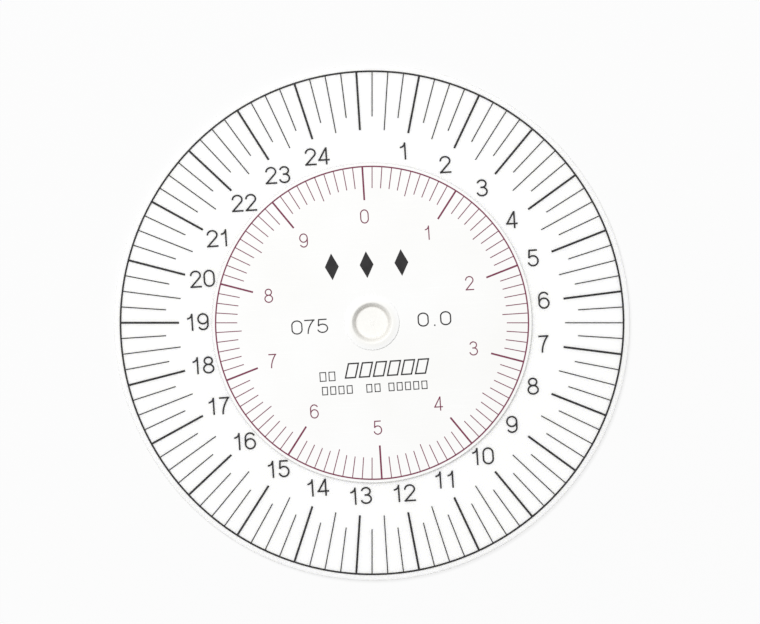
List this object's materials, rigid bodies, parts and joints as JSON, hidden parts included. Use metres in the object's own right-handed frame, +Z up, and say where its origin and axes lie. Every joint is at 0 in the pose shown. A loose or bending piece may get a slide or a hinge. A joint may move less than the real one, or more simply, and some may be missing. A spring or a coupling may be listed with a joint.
{
  "type": "circular slide rule",
  "caption": "Flat two-disc circular slide rule: a small white disc turns on a snap rivet over a larger one, so a crimson scale reads against a black scale.",
  "frame": {"origin": "on the rivet's axis, in the plane of the base disc's underside, which the rule rests on", "axes": "+Z up along the rivet's axis, out of the printed face; +Y towards the zero marks of both scales; +X to the reader's right"},
  "size_m": [0.1, 0.1, 0.0017],
  "materials": {
    "base_plastic": "satin white rigid PVC sheet with a printed black scale",
    "inner_plastic": "satin white rigid PVC sheet with a printed crimson scale",
    "rivet_nylon": "moulded cream nylon, satin",
    "ink_black": "screen-printed black ink",
    "ink_crimson": "screen-printed crimson ink"
  },
  "bodies": {
    "base": {"base_disc": "base_plastic", "rivet_socket": "rivet_nylon", "pivot_rivet": "rivet_nylon"},
    "dial": {"inner_disc": "inner_plastic"}
  },
  "joints": [
    {"name": "dial_turn", "type": "hinge", "parent": "base", "child": "dial", "pos_m": [0, 0, 0.00125], "axis": [0, 0, 1], "continuous": true}
  ]
}
